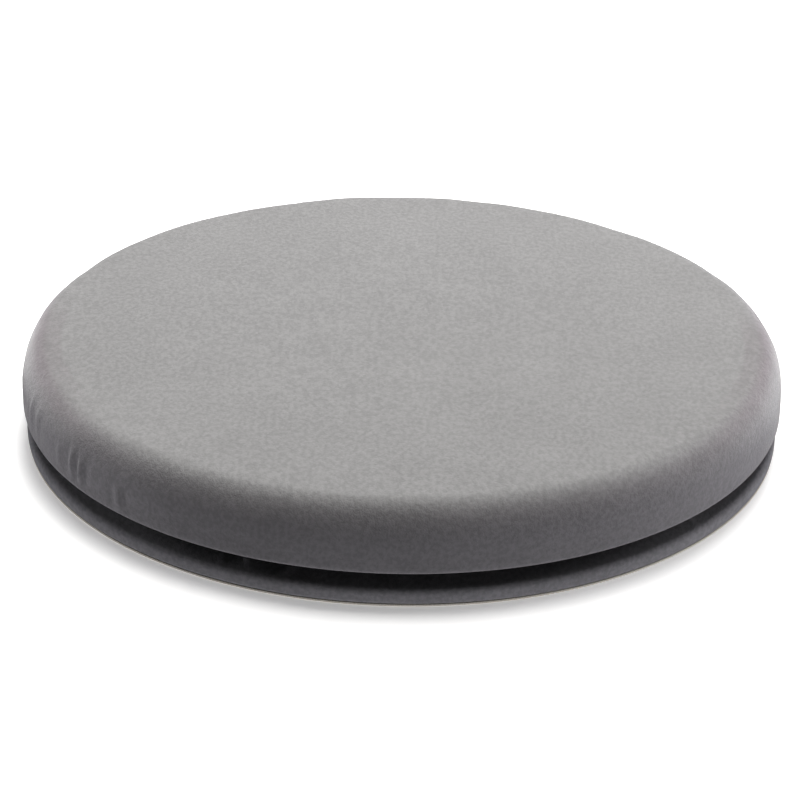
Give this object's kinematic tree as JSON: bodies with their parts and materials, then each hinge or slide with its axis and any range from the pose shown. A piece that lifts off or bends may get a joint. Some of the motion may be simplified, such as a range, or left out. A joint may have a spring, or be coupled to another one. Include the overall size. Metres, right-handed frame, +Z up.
{
  "type": "swivel seat cushion",
  "caption": "Round padded seat cushion in grey velour that turns freely on a flat fabric-covered base with a non-slip underside.",
  "frame": {"origin": "on the floor, at the centre of the base's underside", "axes": "+Z up along the swivel's axis; the cushion is round, so +X and +Y are any two level directions at right angles"},
  "size_m": [0.381, 0.381, 0.051],
  "materials": {
    "seat_velour": "short grey velour pile",
    "base_velour": "short grey velour pile",
    "foam": "open-cell cream polyurethane foam",
    "elastic": "ribbed woven elastic",
    "disc_plastic": "fine-textured black moulding",
    "non_slip_rubber": "cream dimpled non-slip sheet",
    "race_aluminium": "turned aluminium",
    "cage_nylon": "natural nylon",
    "ball_steel": "polished bearing steel",
    "rivet_aluminium": "plain aluminium"
  },
  "bodies": {
    "base": {"non_slip_sheet": "non_slip_rubber", "lower_disc": "disc_plastic", "base_cover": "base_velour", "inner_race": "race_aluminium", "lower_rivet_01": "rivet_aluminium", "lower_rivet_02": "rivet_aluminium", "lower_rivet_03": "rivet_aluminium", "lower_rivet_04": "rivet_aluminium", "lower_rivet_05": "rivet_aluminium", "lower_rivet_06": "rivet_aluminium"},
    "cage": {"ball_cage": "cage_nylon", "ball_01": "ball_steel", "ball_02": "ball_steel", "ball_03": "ball_steel", "ball_04": "ball_steel", "ball_05": "ball_steel", "ball_06": "ball_steel", "ball_07": "ball_steel", "ball_08": "ball_steel", "ball_09": "ball_steel", "ball_10": "ball_steel", "ball_11": "ball_steel", "ball_12": "ball_steel", "ball_13": "ball_steel", "ball_14": "ball_steel", "ball_15": "ball_steel", "ball_16": "ball_steel", "ball_17": "ball_steel", "ball_18": "ball_steel", "ball_19": "ball_steel", "ball_20": "ball_steel", "ball_21": "ball_steel", "ball_22": "ball_steel", "ball_23": "ball_steel", "ball_24": "ball_steel"},
    "seat": {"outer_race": "race_aluminium", "upper_rivet_01": "rivet_aluminium", "upper_rivet_02": "rivet_aluminium", "upper_rivet_03": "rivet_aluminium", "upper_rivet_04": "rivet_aluminium", "upper_rivet_05": "rivet_aluminium", "upper_rivet_06": "rivet_aluminium", "upper_disc": "disc_plastic", "foam_pad": "foam", "seat_cover": "seat_velour", "hem_elastic": "elastic"}
  },
  "joints": [
    {"name": "swivel", "type": "hinge", "parent": "base", "child": "seat", "pos_m": [0, 0, 0.0122], "axis": [0, 0, 1], "continuous": true},
    {"name": "cage_orbit", "type": "hinge", "parent": "base", "child": "cage", "pos_m": [0, 0, 0.0122], "axis": [0, 0, 1], "continuous": true}
  ],
  "couplings": [
    {"joint": "cage_orbit", "follows": "swivel", "ratio": 0.5096}
  ]
}
